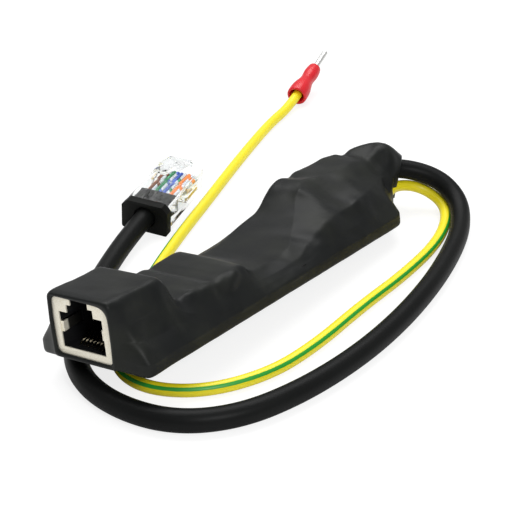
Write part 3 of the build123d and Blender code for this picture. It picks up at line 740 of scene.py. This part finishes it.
def sheet_material():
    look = Look("tinned_sheet", Metallic=0.35, Specular_IOR_Level=0.5)
    speck = look.noise(5200.0, 2.0, 0.7)
    cloud = look.noise(420.0, 3.0, 0.5)
    # Painted reflection in part: the pale tin gets a bright ivory colour for the white studio it
    # mirrors.
    colour = look.mix(speck.smooth(0.35, 0.7), (0.84, 0.78, 0.63), (0.97, 0.94, 0.83))
    depth = look.add("ShaderNodeSeparateXYZ", {}, {"Vector": look.place()}, "Y") - board_seat.y
    # Painted shade: beyond about two millimetres into the mouth the sheet's colour fades to nearly
    # black.
    colour = look.mix(depth.smooth(*mouth_shade), colour, (0.020, 0.019, 0.016))
    roughness = 0.36 + cloud * 0.22
    return look.set(Base_Color=colour, Roughness=roughness,
                    Normal=look.bump(speck + cloud, 0.03 * mm, 0.35))


can = softened_copy("jack_shield", "socket_can", sheet_material(), sheet_edge)
spring_root = 5.85
spring_bottom, spring_top = 2.5, 9.0
spring_reach, spring_depth = 0.32, 0.12
to_board = board.inverted()
for vertex in can.data.vertices:
    place = to_board @ vertex.co / mm
    if abs(place.x) < spring_root and spring_bottom < place.z < spring_top:
        side = 1 if place.x > 0 else -1
        place.x = (spring_root - (spring_root - abs(place.x)) * spring_reach) * side
        place.y *= spring_depth
        vertex.co = board @ (place * mm)
print("socket can", len(can.data.polygons), "faces before rounding")

# %% [markdown]
# Inside the can sits a black moulded insert with eight spring contacts. The moulding is nearly
# black with a fine texture from its tool. The contacts are gold plated, but their colour is painted
# nearly black as the shade of the dark opening, with a painted glint where each one bends at its foot,
# a set height above the board.

# %% Socket insert and contacts
def moulding_material():
    look = Look("black_moulding", Specular_IOR_Level=0.2)
    texture = look.noise(3000.0, 3.0, 0.6)
    drift = look.noise(150.0, 2.0)
    colour = look.mix(drift, (0.006, 0.006, 0.007), (0.013, 0.013, 0.014))
    return look.set(Base_Color=colour, Roughness=0.38 + texture * 0.14,
                    Normal=look.bump(texture, 0.02 * mm, 0.4))


def metal_material(name, dark, bright, roughness):
    look = Look(name, Metallic=1.0)
    cloud = look.noise(900.0, 3.0, 0.6)
    colour = look.mix(cloud, dark, bright)
    return look.set(Base_Color=colour, Roughness=roughness + cloud * 0.12,
                    Normal=look.bump(cloud, 0.01 * mm, 0.3))


# The height band of the painted glint at each contact's foot, and its soft edges.
foot_glint = 12.5 * mm, 12.55 * mm
glint_fade = 0.2 * mm, 0.1 * mm


def contact_material():
    look = Look("gold_contact")
    axes = {"Vector": look.place()}
    across = look.add("ShaderNodeSeparateXYZ", {}, axes, "X")
    upward = look.add("ShaderNodeSeparateXYZ", {}, axes, "Z")
    height = upward * cos(board_lean) + across * sin(board_lean)
    low, high = foot_glint
    rising, falling = glint_fade
    glint = height.smooth(low - rising, low) - height.smooth(high, high + falling)
    cloud = look.noise(900.0, 3.0, 0.6)
    bright = look.mix(cloud, (0.86, 0.72, 0.45), (1.0, 0.92, 0.72))
    # Painted shade and glint: the gold is painted nearly black, and bright and less metallic only in
    # the glint band.
    colour = look.mix(glint, (0.020, 0.016, 0.010), bright)
    return look.set(Base_Color=colour, Metallic=1.0 - glint * 0.8, Roughness=0.16 + cloud * 0.12,
                    Normal=look.bump(cloud, 0.01 * mm, 0.3))


contact_names = [f"jack_contact_{number}" for number in range(1, 9)]
blade_names = [f"plug_blade_{number}" for number in range(1, 9)]
gold_look = metal_material("gold_contact", (0.80, 0.55, 0.20), (0.97, 0.76, 0.38), 0.14)
dress(moulding_material(), "jack_insert")
dress(contact_material(), *contact_names)
dress(gold_look, *blade_names)
print("contacts dressed", len(contact_names) + len(blade_names))

# %% [markdown]
# Under the film lie the board and its parts. They are out of sight, but the model can be opened, so
# each gets the finish of its kind: green lacquered glass fibre, black epoxy, glazed ceramic, dark
# resin and bare copper.

# %% Board and its parts
def board_material():
    look = Look("circuit_board", Specular_IOR_Level=0.5)
    weave = look.add("ShaderNodeTexBrick", {}, {"Scale": 900.0, "Mortar Size": 0.08}, "Fac")
    tracks = look.noise(160.0, 0.0, 0.2, look.stretched((1.0, 0.35, 1.0))).smooth(0.49, 0.51)
    lacquer = look.mix(tracks, (0.006, 0.055, 0.022), (0.012, 0.11, 0.045))
    return look.set(Base_Color=lacquer, Roughness=0.28 + weave * 0.08,
                    Normal=look.bump(tracks + weave * 0.2, 0.03 * mm, 0.5))


def plain_material(name, dark, light, roughness):
    look = Look(name, Specular_IOR_Level=0.5)
    cloud = look.noise(300.0, 3.0, 0.55)
    grain = look.noise(2700.0, 2.0, 0.6)
    colour = look.mix(cloud, dark, light)
    return look.set(Base_Color=colour, Roughness=roughness + grain * 0.12,
                    Normal=look.bump(grain + cloud, 0.02 * mm, 0.4))


dress(board_material(), "circuit_board")
dress(plain_material("diode_epoxy", (0.010, 0.010, 0.011), (0.022, 0.022, 0.024), 0.3),
      *[f"suppressor_diode_{number}" for number in range(1, 7)])
dress(plain_material("tube_ceramic", (0.62, 0.60, 0.55), (0.80, 0.78, 0.73), 0.25),
      "gas_tube_1", "gas_tube_2")
dress(plain_material("rectifier_case", (0.014, 0.014, 0.015), (0.026, 0.026, 0.028), 0.42),
      "bridge_rectifier_1", "bridge_rectifier_2")
dress(metal_material("bare_copper", (0.55, 0.22, 0.10), (0.85, 0.42, 0.22), 0.28),
      "earth_core", "terminal_core")
print("board parts dressed")

# %% [markdown]
# Eight thin cores carry four pairs: one core of each pair is coloured and the other white with a
# stripe of that colour. Slanted bands give the stripes, without the need to unwrap the cores. In the
# plug each core lies in its own groove, and there it is drawn anew as a smooth curve.

# %% Core colours
core_colours = {
    "brown": ((0.16, 0.055, 0.025), (0.24, 0.085, 0.035)),
    "green": ((0.01, 0.16, 0.06), (0.02, 0.26, 0.10)),
    "blue": ((0.015, 0.06, 0.34), (0.03, 0.10, 0.50)),
    "orange": ((0.80, 0.17, 0.02), (0.95, 0.28, 0.05)),
}
core_order = [
    "brown", "white_brown", "green", "white_blue", "blue", "white_green", "orange", "white_orange",
]
core_white = (0.62, 0.65, 0.70)


def core_material(name):
    look = Look(name + "_core", Specular_IOR_Level=0.5)
    dark, light = core_colours[name.removeprefix("white_")]
    drift = look.noise(500.0, 2.0)
    colour = look.mix(drift, dark, light)
    if name.startswith("white_"):
        settings = {"wave_type": "BANDS", "bands_direction": "DIAGONAL"}
        bands = look.add("ShaderNodeTexWave", settings, {"Vector": look.place(), "Scale": 170.0}, "Fac")
        colour = look.mix(bands.smooth(0.78, 0.84), core_white, colour)
    return look.set(Base_Color=colour, Roughness=0.34 + drift * 0.12,
                    Normal=look.bump(drift, 0.02 * mm, 0.4))


lead_pitch = 1.02
lead_diameter = 0.98 * mm
lead_line = [(7.4, 4.7), (11.0, 4.7), (14.5, 4.3), (20.0, 3.5)]


def plug_lead(number, look):
    across = (number - (len(core_order) + 1) / 2) * lead_pitch
    route = [plug @ (Vector((across, along, height)) * mm) for along, height in lead_line]
    lead = route_curve(f"lead_{number}", route, lead_diameter / 2)
    lead.data.materials.append(look)
    settle(lead, [f"plug_conductor_{number}"])
    return lead


for number, name in enumerate(core_order, 1):
    look = core_material(name)
    dress(look, f"cable_core_{number}")
    plug_lead(number, look)
print("core colours", len(core_order))

# %% [markdown]
# The plug is moulded from clear polycarbonate. Clear plastic is shown by what it bends and mirrors,
# so it needs round edges, a true refraction and something to see through it: the coloured cores.
# A trace of roughness and faint flow marks keep it from looking like cut glass.

# %% Clear plug
plug_edge = 0.16 * mm


def clear_material():
    look = Look("clear_plastic", Transmission_Weight=1.0, IOR=1.12, Coat_Weight=0.12,
                Coat_Roughness=0.04)
    flow = look.noise(260.0, 3.0, 0.5, look.stretched((1.0, 0.4, 1.0)))
    tint = look.mix(flow, (0.93, 0.95, 0.95), (0.985, 0.99, 0.99))
    return look.set(Base_Color=tint, Roughness=0.03 + flow * 0.06,
                    Normal=look.bump(flow, 0.06 * mm, 0.35))


clear_look = clear_material()
housing = softened_copy("plug_housing", "clear_housing", clear_look, plug_edge)
latch = softened_copy("plug_latch", "clear_latch", clear_look, plug_edge, "latch")
print("plug pieces", housing.name, latch.name)

# %% [markdown]
# The boot is soft black plastic pushed into the plug from behind. Its edges are well rounded and
# its skin is matt with a fine spark-eroded texture. Its nose is seen through the clear housing and
# is a piece of its own, with a shallow recess in its top.

# %% Boot
boot_edge = 0.3 * mm


def boot_material():
    look = Look("boot_moulding", Specular_IOR_Level=0.07)
    texture = look.noise(2400.0, 3.0, 0.65)
    drift = look.noise(180.0, 2.0)
    colour = look.mix(drift, (0.005, 0.0054, 0.005), (0.011, 0.0115, 0.0105))
    return look.set(Base_Color=colour, Roughness=0.42 + drift * 0.14,
                    Normal=look.bump(texture, 0.03 * mm, 0.45))


boot_look = boot_material()
boot = softened_copy("strain_relief_boot", "cable_boot", boot_look, boot_edge)
core_stations = [
    # place along the plug, half width, underside and top, all in millimetres
    (0.1, 4.6, 1.0, 5.5), (3.4, 4.6, 1.0, 5.5), (3.7, 4.6, 1.0, 5.2), (6.2, 4.6, 1.0, 5.2),
    (6.5, 4.6, 1.0, 5.5), (7.5, 4.6, 1.1, 5.45), (7.9, 4.3, 1.4, 5.1), (8.0, 3.9, 1.8, 4.7),
]
core_rounds = (0.5, 0.5, 0.5, 0.5)


def boot_core():
    rings = []
    for along, half, low, high in core_stations:
        corners = [(-half, low), (-half, high), (half, high), (half, low)]
        ring = flat_ring(along, rounded_outline(corners, core_rounds))
        rings += [plug @ (point * mm) for point in ring]
    sides = len(rings) // len(core_stations)
    return make_piece("boot_core", rings, tube_faces(len(core_stations), sides), boot_look,
                      ["strain_relief_boot"])


core = boot_core()
print("boot", boot.name, core.name)

# %% [markdown]
# The crimp terminal's sleeve is a turned shape: a bell that guides the wire in, a waist, and a bulb
# over the metal barrel. A profile spun round the wire's line makes it, with an inner wall so that
# the bell is open. Every profile point is a place along the line and a radius, in millimetres.

# %% Terminal sleeve
sleeve_profile = [
    (4.6, 1.56), (4.3, 2.12), (1.6, 2.16), (0.25, 2.2), (0.02, 2.5), (0.0, 2.85), (0.22, 3.12),
    (1.2, 3.16), (3.2, 3.14), (4.6, 3.0), (6.2, 2.64), (7.8, 2.26), (9.2, 2.1), (10.4, 2.12),
    (11.6, 2.28), (12.8, 2.35), (13.8, 2.3), (15.0, 2.16), (15.9, 2.05), (16.15, 1.9), (16.2, 1.62),
    (15.6, 1.56),
]
sleeve_sides = 48


def spun(name, profile, sides, look, replaced, place):
    points = []
    for along, radius in profile:
        for step in range(sides):
            angle = 2 * pi * step / sides
            points.append(place @ (Vector((radius * cos(angle), along, radius * sin(angle))) * mm))
    faces = tube_faces(len(profile), sides, closed_ends=False)
    return make_piece(name, points, faces, look, replaced)


def red_material():
    look = Look("red_sleeve", Specular_IOR_Level=0.5, Coat_Roughness=0.2)
    cloud = look.noise(260.0, 3.0)
    grain = look.noise(2200.0, 2.0)
    colour = look.mix(cloud, (0.60, 0.004, 0.012), (0.80, 0.010, 0.022))
    return look.set(Base_Color=colour, Roughness=0.3 + grain * 0.12,
                    Normal=look.bump(grain + cloud, 0.03 * mm, 0.4))


sleeve = spun("crimp_sleeve", sleeve_profile, sleeve_sides, red_material(),
              ["terminal_sleeve"], terminal)
sleeve_rounding = sleeve.modifiers.new("smoothness", "SUBSURF")
sleeve_rounding.levels = sleeve_rounding.render_levels = 1
pin_look = metal_material("tinned_pin", (0.84, 0.84, 0.82), (0.95, 0.95, 0.93), 0.34)
dress(pin_look, "terminal_pin")
print("terminal sleeve", len(sleeve.data.vertices), "points")

# %% [markdown]

# %% Cords
print("cable and earth wire drawn above")

# %% [markdown]
# The part lies on a plain white table. The floor's own colour is nearly white, and for the camera a
# little glow lifts it to pure white, while the contact shadow stays.

# %% Floor
def floor_material():
    look = Look("white_table", Roughness=0.9, Specular_IOR_Level=0.1, Emission_Strength=1.0)
    seen = look.add("ShaderNodeLightPath", {}, {}, "Is Camera Ray")
    passed = look.add("ShaderNodeLightPath", {}, {}, "Is Transmission Ray")
    direct = (seen + passed) > 0.5
    glow = look.mix(direct, (0.0, 0.0, 0.0), (0.80, 0.80, 0.80))
    paper = look.mix(look.noise(30.0), (0.80, 0.80, 0.80), (0.82, 0.82, 0.82))
    return look.set(Base_Color=look.mix(direct, paper, (0.27, 0.27, 0.27)), Emission_Color=glow)


floor_half = 1.5
floor_mesh = bpy.data.meshes.new("table")
floor_corners = [(-floor_half, -floor_half, 0), (floor_half, -floor_half, 0),
                 (floor_half, floor_half, 0), (-floor_half, floor_half, 0)]
floor_mesh.from_pydata(floor_corners, [], [(0, 1, 2, 3)])
floor_mesh.materials.append(floor_material())
floor = bpy.data.objects.new("table", floor_mesh)
bpy.context.scene.collection.objects.link(floor)
print("table", 2 * floor_half, "m wide")

# %% [markdown]
# The light is a soft studio: an even pale sky, one large soft box overhead, a little behind and to
# the left, which draws the sheen on the faces that look up and leaves the near side dark, and a
# small weak one in front, to the right. The camera, and what it sees through the clear plug, meet a
# plain white backdrop and not the sky.

# %% Light
def soft_box(name, place, target, size, watts):
    data = bpy.data.lights.new(name, "AREA")
    data.shape = "RECTANGLE"
    data.size, data.size_y = size
    data.energy = watts
    lamp = bpy.data.objects.new(name, data)
    lamp.location = place
    lamp.rotation_euler = (Vector(target) - Vector(place)).to_track_quat("-Z", "Y").to_euler()
    bpy.context.scene.collection.objects.link(lamp)
    return lamp


def studio_sky(strength):
    world = bpy.data.worlds.new("studio")
    world.use_nodes = True
    sky = Tree(world.node_tree)
    seen = sky.add("ShaderNodeLightPath", {}, {}, "Is Camera Ray")
    passed = sky.add("ShaderNodeLightPath", {}, {}, "Is Transmission Ray")
    lit = sky.add("ShaderNodeBackground", {}, {"Color": white, "Strength": strength})
    backdrop = sky.add("ShaderNodeBackground", {}, {"Color": white, "Strength": 1.0})
    direct = (seen + passed) > 0.5
    blend = sky.add("ShaderNodeMixShader", {}, {0: direct, 1: lit, 2: backdrop})
    sky.feed(sky.tree.nodes["World Output"].inputs["Surface"], blend)
    sky.tree.nodes.remove(sky.tree.nodes["Background"])
    bpy.context.scene.world = world


white = (1.0, 1.0, 1.0, 1.0)
sky_strength = 0.42
key_watts = 6.2
front_watts = 0.5
lamp_target = (0.0, 0.02, 0.0)
studio_sky(sky_strength)
soft_box("overhead", (-0.25, 0.25, 0.75), lamp_target, (0.8, 0.6), key_watts)
soft_box("front", (0.26, -0.17, 0.25), lamp_target, (0.08, 0.08), front_watts)
bpy.context.scene.view_settings.view_transform = "Standard"
print("sky", sky_strength, "soft boxes", key_watts, "W and", front_watts, "W")
